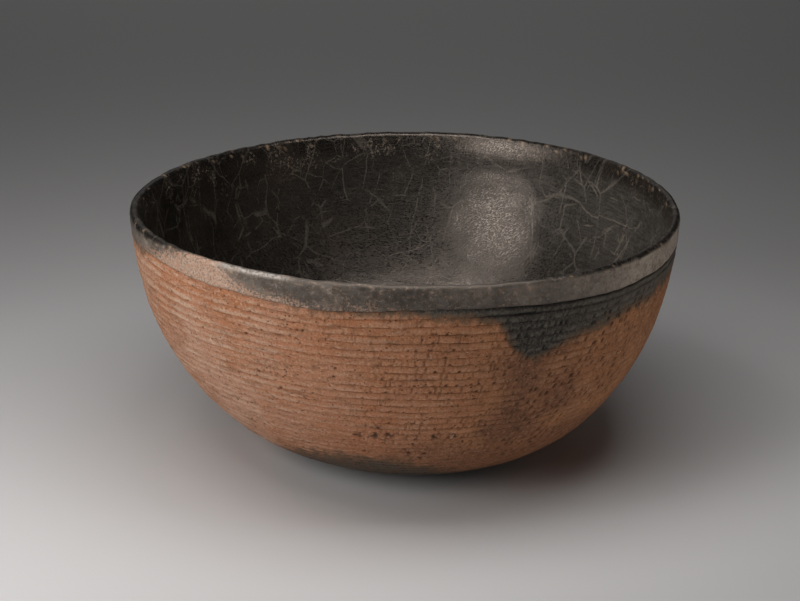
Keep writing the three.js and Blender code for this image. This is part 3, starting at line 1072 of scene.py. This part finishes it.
# The smudged and burnished clay inside, and the band round the rim
smudgedColours = {
    "black": (0.0042, 0.0040, 0.0034),
    "brown": (0.0145, 0.0110, 0.0082),
    "grey": (0.056, 0.046, 0.037),
    "rubbedAndSheen": (0.078, 0.072, 0.062),
    "scratch": (0.24, 0.205, 0.165),
    "flake": (0.24, 0.185, 0.140),
    "bandDark": (0.009, 0.009, 0.008),
    "bandGrey": (0.050, 0.047, 0.043),
    "bandBrown": (0.150, 0.095, 0.060),
    "bandTaupe": (0.44, 0.375, 0.305),
    "bandTan": (0.43, 0.230, 0.148),
    "bandBuff": (0.56, 0.41, 0.315),
    "lip": (0.050, 0.045, 0.039),
    "glint": (0.46, 0.42, 0.38),
    "chip": (0.42, 0.29, 0.19),
    "dirtAndShade": (0.020, 0.016, 0.012),
}
smudged = {
    "mottle": (3.2, 4.0, 0.7),
    "speck": (0.95, 3.0, 0.65),
    "strokeStretch": (1.0, 1.0, 7.0),
    "strokes": (6.0, 4.0, 0.65),
    # the black of the inside, browner in patches and greyer where it is rubbed
    "brown": ((30.0, 4.0, 0.6, 0.5), (0.42, 0.66)),
    "greyMottle": (0.55, 0.8, 0.0, 0.24),
    "greyStrokes": (0.54, 0.75, 0.0, 0.18),
    "rubbedStrokes": (0.36, 0.64, 0.35, 1.0),
    # root marks and scratches: size of the cells, width, bend, and the span over which they show
    "cracks": [
        (48.0, 0.72, 15.0, (0.46, 0.54)), (33.0, 0.56, 10.0, (0.48, 0.56)), (23.0, 0.46, 6.0, (0.49, 0.56)),
        (14.0, 0.34, 4.0, (0.51, 0.57)),
    ],
    "crackSeed": 7,
    "crackPatchSeeds": (20.0, 3),  # the first, and the step to the next
    "crackPatchSize": 0.7,  # share of the size of the cells
    # straight fine scratches: one set for each turn
    "fineTurns": (0.1, 0.8, 1.5, 2.1, 2.7),
    "fineLength": 13.0,  # each set is a millimetre shorter than the one before
    "fineWidth": 0.40,
    "fine": ((1.0, 1.0, 0.4, 0.25), (0.64, 0.74, 0.0, 0.45)),
    "busy": ((28.0, 2.0), (0.40, 0.60, 0.25, 1.0)),
    "lineSpecks": (0.35, 0.60, 0.35, 1.0),
    "linesByRubbed": (0.0, 1.0, 0.26, 0.66),
    # pale specks where the black has flaked, between these heights under the rim
    "flakePatches": ((11.0, 3.0, 0.6), (0.50, 0.62)),
    "flakes": ((1.3, 3.0, 0.7), (0.52, 0.64, 0.0, 0.75)),
    "flakeRise": (88.0, 104.0),
    "flakeFall": (109.5, 111.5, 1.0, 0.25),
    "flakesByRubbed": (0.1, 0.9, 1.0, 0.3),
    # the band: how ragged the edge of its soot is, then its tan, brown, grey and taupe
    "raggedStretch": (1.0, 1.0, 1.8),
    "ragged": (2.6, 5.0, 0.72),
    "sootRagged": (0.3, 0.7, -0.24, 0.24),
    "sootSpeck": (0.40, 0.60, -0.34, 0.34),
    "buff": (0.35, 0.65),
    "brownSpeck": (0.45, 0.32, 0.0, 0.6),
    "cloudyShares": (0.65, 0.35),  # of the mottle and of the specks
    "greyCloud": (0.45, 0.57),
    "taupeCloud": (0.34, 0.58),
    "lipCloud": (0.38, 0.58, 0.45, 1.0),
    "sootBrown": (0.02, 0.42, 0.0, 0.80),
    "sootGrey": (0.28, 0.85, 0.0, 0.97),
    "faded": ((2.2, 4.0, 0.7, 0.8), (0.54, 0.68, 0.0, 0.30)),
    "hollowShare": 0.85,
    "glintSpeck": (0.40, 0.58, 0.2, 1.0),
    "chipShare": 0.6,
    "specular": 1.0,
    "specularTint": (1.0, 0.83, 0.71, 1.0),
    # short polished strokes, one set for each turn
    "polishTurns": (0.0, 0.5, 1.1, 1.6, 2.2, 2.8),
    "polishLength": 2.3,
    "polishWidth": 0.60,
    "polish": ((1.0, 2.0, 0.5), (0.57, 0.67)),
    "polishMottle": (0.38, 0.58, 0.45, 1.0),
    # roughness, and how much polish and wear take off it
    "insideRoughness": (0.3, 0.7, 0.40, 0.46),
    "bandRoughness": (0.3, 0.7, 0.50, 0.66),
    "polishSmooths": 0.32,
    "glintSmooths": 0.25,
    # bump
    "mottleHeight": 0.30,
    "strokeHeight": 0.16,
    "speckHeight": 0.32,
    "lineHeight": 0.12,
    "bump": 0.26,
}


def strokeSets(tree, sources, turns, lengths, width, layer):
    # a noise drawn out one way, in one set for each turn, and the strongest of them
    sets = []
    for source, turn, length in zip(sources, turns, lengths):
        laid = placeIn(tree, scale=(1.0 / length, 1.0 / width, 1.0), turn=turn, source=source)
        sets.append(layerOf(tree, laid, layer))
    return strongest(tree, sets)


def scratches(tree, place, spread, speck):
    # long thin lines that fork, come and go, over sets of fine straight ones
    marks = []
    firstSeed, seedStep = smudged["crackPatchSeeds"]
    for number, (size, width, bend, span) in enumerate(smudged["cracks"]):
        line = crackLines(tree, spread, size, width, bend, number + smudged["crackSeed"])
        moved = movedPlace(tree, spread, firstSeed + seedStep * number)
        shown = layerOf(tree, moved, ((smudged["crackPatchSize"] * size, 2.0), span))
        marks.append(times(tree, line, shown))
    turns = smudged["fineTurns"]
    lengths = [smudged["fineLength"] - number for number in range(len(turns))]
    sources = [spread] * len(turns)
    fine = strokeSets(tree, sources, turns, lengths, smudged["fineWidth"], smudged["fine"])
    busy = layerOf(tree, place, smudged["busy"])
    lines = strongest(tree, [times(tree, fine, busy), *marks])
    return times(tree, lines, spanOf(tree, speck, *smudged["lineSpecks"]))


def burnishedInside(tree, place, mottle, strokes, lines):
    c = smudgedColours
    rubbedAndSheen = attribute(tree, "rubbedAndSheen")
    colour = mixed(tree, layerOf(tree, place, smudged["brown"]), c["black"], c["brown"])
    colour = mixed(tree, spanOf(tree, mottle, *smudged["greyMottle"]), colour, c["grey"])
    colour = mixed(tree, spanOf(tree, strokes, *smudged["greyStrokes"]), colour, c["grey"])
    # rubbed grey, partly a painted sheen
    greyed = times(tree, rubbedAndSheen, spanOf(tree, strokes, *smudged["rubbedStrokes"]))
    colour = mixed(tree, greyed, colour, c["rubbedAndSheen"])
    lineShare = times(tree, lines, spanOf(tree, rubbedAndSheen, *smudged["linesByRubbed"]))
    colour = mixed(tree, lineShare, colour, c["scratch"])

    apart = tree.nodes.new("ShaderNodeSeparateXYZ")
    tree.links.new(place, apart.inputs[0])
    height = apart.outputs["Z"]
    flakes = layerOf(tree, place, smudged["flakePatches"])
    flakes = times(tree, flakes, layerOf(tree, place, smudged["flakes"]))
    flakes = times(tree, flakes, spanOf(tree, height, *smudged["flakeRise"]))
    flakes = times(tree, flakes, spanOf(tree, rubbedAndSheen, *smudged["flakesByRubbed"]))
    flakes = times(tree, flakes, spanOf(tree, height, *smudged["flakeFall"]))
    return mixed(tree, flakes, colour, c["flake"])


def rimBand(tree, place, mottle, speck):
    # clay at the left, brown where the soot thins, then mottled greys
    c = smudgedColours
    ragged = noiseOf(tree, placeIn(tree, scale=smudged["raggedStretch"]), *smudged["ragged"])
    sooty = plus(tree, attribute(tree, "soot"), spanOf(tree, ragged, *smudged["sootRagged"]))
    sooty = plus(tree, sooty, spanOf(tree, speck, *smudged["sootSpeck"]))
    band = mixed(tree, spanOf(tree, ragged, *smudged["buff"]), c["bandTan"], c["bandBuff"])
    band = mixed(tree, spanOf(tree, speck, *smudged["brownSpeck"]), band, c["bandBrown"])
    mottleShare, speckShare = smudged["cloudyShares"]
    cloudy = plus(tree, times(tree, mottle, mottleShare), times(tree, speck, speckShare))
    grey = mixed(tree, spanOf(tree, cloudy, *smudged["greyCloud"]), c["bandDark"], c["bandGrey"])
    taupe = mixed(tree, spanOf(tree, cloudy, *smudged["taupeCloud"]), c["bandBrown"], c["bandTaupe"])
    grey = mixed(tree, attribute(tree, "taupe"), grey, taupe)
    lipShare = times(tree, attribute(tree, "lip"), spanOf(tree, cloudy, *smudged["lipCloud"]))
    grey = mixed(tree, lipShare, grey, c["lip"])
    band = mixed(tree, spanOf(tree, sooty, *smudged["sootBrown"]), band, c["bandBrown"])
    band = mixed(tree, spanOf(tree, sooty, *smudged["sootGrey"]), band, grey)
    band = mixed(tree, layerOf(tree, place, smudged["faded"]), band, c["bandBuff"])
    # painted shade where the band's lower edge tucks in, and on its hidden back
    band = mixed(tree, times(tree, attribute(tree, "hollow"), smudged["hollowShare"]), band, c["dirtAndShade"])
    # a painted glint: pale speckled colour along the polished stretch of the lip
    glint = times(tree, attribute(tree, "glint"), spanOf(tree, speck, *smudged["glintSpeck"]))
    return mixed(tree, glint, band, c["glint"])


def smudgedRoughness(tree, spread, mottle, inside):
    # short polished strokes, laid every way, break the reflections up
    turns = smudged["polishTurns"]
    lengths = [smudged["polishLength"]] * len(turns)
    sources = [movedPlace(tree, spread, number) for number in range(len(turns))]
    polished = strokeSets(tree, sources, turns, lengths, smudged["polishWidth"], smudged["polish"])
    polished = times(tree, polished, spanOf(tree, mottle, *smudged["polishMottle"]))
    gloss = spanOf(tree, mottle, *smudged["insideRoughness"])
    gloss = minus(tree, gloss, times(tree, polished, smudged["polishSmooths"]))
    matt = spanOf(tree, mottle, *smudged["bandRoughness"])
    matt = minus(tree, matt, times(tree, attribute(tree, "glint"), smudged["glintSmooths"]))
    blend = tree.nodes.new("ShaderNodeMix")
    feed(tree, blend.inputs[0], inside)
    feed(tree, blend.inputs[2], matt)  # the number sockets A, B and Result
    feed(tree, blend.inputs[3], gloss)
    return blend.outputs[0]


def smudgedClay():
    material, tree, shader = newMaterial("smudgedClay")
    place = placeIn(tree)
    spread = attribute(tree, "spread")
    inside = attribute(tree, "inside")
    mottle = noiseOf(tree, place, *smudged["mottle"])
    speck = noiseOf(tree, place, *smudged["speck"])
    strokes = noiseOf(tree, placeIn(tree, scale=smudged["strokeStretch"]), *smudged["strokes"])
    lines = scratches(tree, place, spread, speck)
    burnished = burnishedInside(tree, place, mottle, strokes, lines)
    colour = mixed(tree, inside, rimBand(tree, place, mottle, speck), burnished)
    chipShare = times(tree, attribute(tree, "chip"), smudged["chipShare"])
    colour = mixed(tree, chipShare, colour, smudgedColours["chip"])
    tree.links.new(colour, shader.inputs["Base Color"])
    tree.links.new(smudgedRoughness(tree, spread, mottle, inside), shader.inputs["Roughness"])
    shader.inputs["Specular IOR Level"].default_value = smudged["specular"]
    shader.inputs["Specular Tint"].default_value = smudged["specularTint"]
    height = times(tree, mottle, smudged["mottleHeight"])
    height = plus(tree, height, times(tree, strokes, smudged["strokeHeight"]))
    height = plus(tree, height, times(tree, speck, smudged["speckHeight"]))
    height = minus(tree, height, times(tree, lines, smudged["lineHeight"]))
    bumped(tree, shader, height, smudged["bump"])
    return material


# Floor, light and camera
stage = {
    "floorSize": 8.0,
    "floorColour": (0.63, 0.615, 0.61),
    "paintedFarLight": (0.93, 0.915, 0.90),  # painted light: the floor's colour gets lighter behind the bowl, between these distances
    "farFrom": (0.15, 1.1),
    "floorRoughness": 0.9,
    "world": (0.94, 0.97, 1.0),
    "worldStrength": 0.010,
    # place in metres, size in metres, watts, the point it is turned to
    "lamps": [
        ("keyLamp", (-0.325, -0.305, 0.226), (0.25, 0.25), 0.99, (0.0, 0.0, 0.05)),
        ("highLamp", (-0.205, -0.150, 0.510), (0.28, 0.22), 0.57, (0.0, 0.0, 0.05)),
        ("topLamp", (0.050, -0.095, 0.450), (0.35, 0.22), 0.82, (0.05, -0.095, 0.0)),
        ("cardLamp", (0.62, -0.50, 0.05), (0.50, 0.09), 0.72, (0.0, 0.0, 0.06)),
        ("farLamp", (-0.25, 1.60, 0.90), (1.60, 1.00), 1.15, (-0.20, 1.20, 0.0)),
    ],
}


def makeFloor():
    bm = bmesh.new()
    bmesh.ops.create_grid(bm, x_segments=1, y_segments=1, size=stage["floorSize"] / 2)
    mesh = bpy.data.meshes.new("floor")
    bm.to_mesh(mesh)
    bm.free()
    floor = bpy.data.objects.new("floor", mesh)
    bpy.context.scene.collection.objects.link(floor)
    material, tree, shader = newMaterial("paleFloor")
    apart = tree.nodes.new("ShaderNodeSeparateXYZ")
    tree.links.new(tree.nodes.new("ShaderNodeTexCoord").outputs["Object"], apart.inputs[0])
    far = spanOf(tree, apart.outputs["Y"], *stage["farFrom"])
    tree.links.new(mixed(tree, far, stage["floorColour"], stage["paintedFarLight"]), shader.inputs["Base Color"])
    shader.inputs["Roughness"].default_value = stage["floorRoughness"]
    floor.data.materials.append(material)


def makeLamps():
    for name, place, size, watts, target in stage["lamps"]:
        lamp = bpy.data.lights.new(name, "AREA")
        lamp.shape = "RECTANGLE"
        lamp.size, lamp.size_y = size
        lamp.energy = watts
        holder = bpy.data.objects.new(name, lamp)
        holder.location = place
        holder.rotation_euler = (Vector(target) - Vector(place)).to_track_quat("-Z", "Y").to_euler()
        bpy.context.scene.collection.objects.link(holder)
    world = bpy.data.worlds.new("studio")
    world.use_nodes = True
    background = world.node_tree.nodes["Background"]
    background.inputs["Color"].default_value = (*stage["world"], 1.0)
    background.inputs["Strength"].default_value = stage["worldStrength"]
    bpy.context.scene.world = world


view = {
    "distance": 1.0,
    "elevation": math.radians(18.8),
    "aim": (-0.0020, 0.0, 0.0648),
    "lens": 97.6,
    "sensor": 36.0,
    "roll": math.radians(-1.47),
    "clipStart": 0.05,
}


def makeCamera():
    camera = bpy.data.cameras.new("camera")
    camera.sensor_fit = "HORIZONTAL"
    camera.sensor_width = view["sensor"]
    camera.lens = view["lens"]
    camera.clip_start = view["clipStart"]
    holder = bpy.data.objects.new("camera", camera)
    sine, cosine = math.sin(view["elevation"]), math.cos(view["elevation"])
    away = Vector((0.0, -cosine, sine))
    right, up = Vector((1.0, 0.0, 0.0)), Vector((0.0, sine, cosine))
    turn, keep = math.sin(view["roll"]), math.cos(view["roll"])
    axes = [right * keep - up * turn, right * turn + up * keep, away]
    place = Matrix.Translation(Vector(view["aim"]) + away * view["distance"])
    holder.matrix_world = place @ Matrix(axes).transposed().to_4x4()
    bpy.context.scene.collection.objects.link(holder)
    bpy.context.scene.camera = holder


makeCamera()
makeFloor()
makeLamps()
bpy.context.scene.view_settings.view_transform = "Standard"
print("stage set")

outsideClay = corrugatedClay()
insideClay = smudgedClay()
print("clays mixed")
basePiece(outsideClay)
for number in range(spiral["ropes"]):
    ropePiece(number, outsideClay)
print("ropes wound:", spiral["ropes"])
rimPiece(insideClay)
print("rim and inside made")
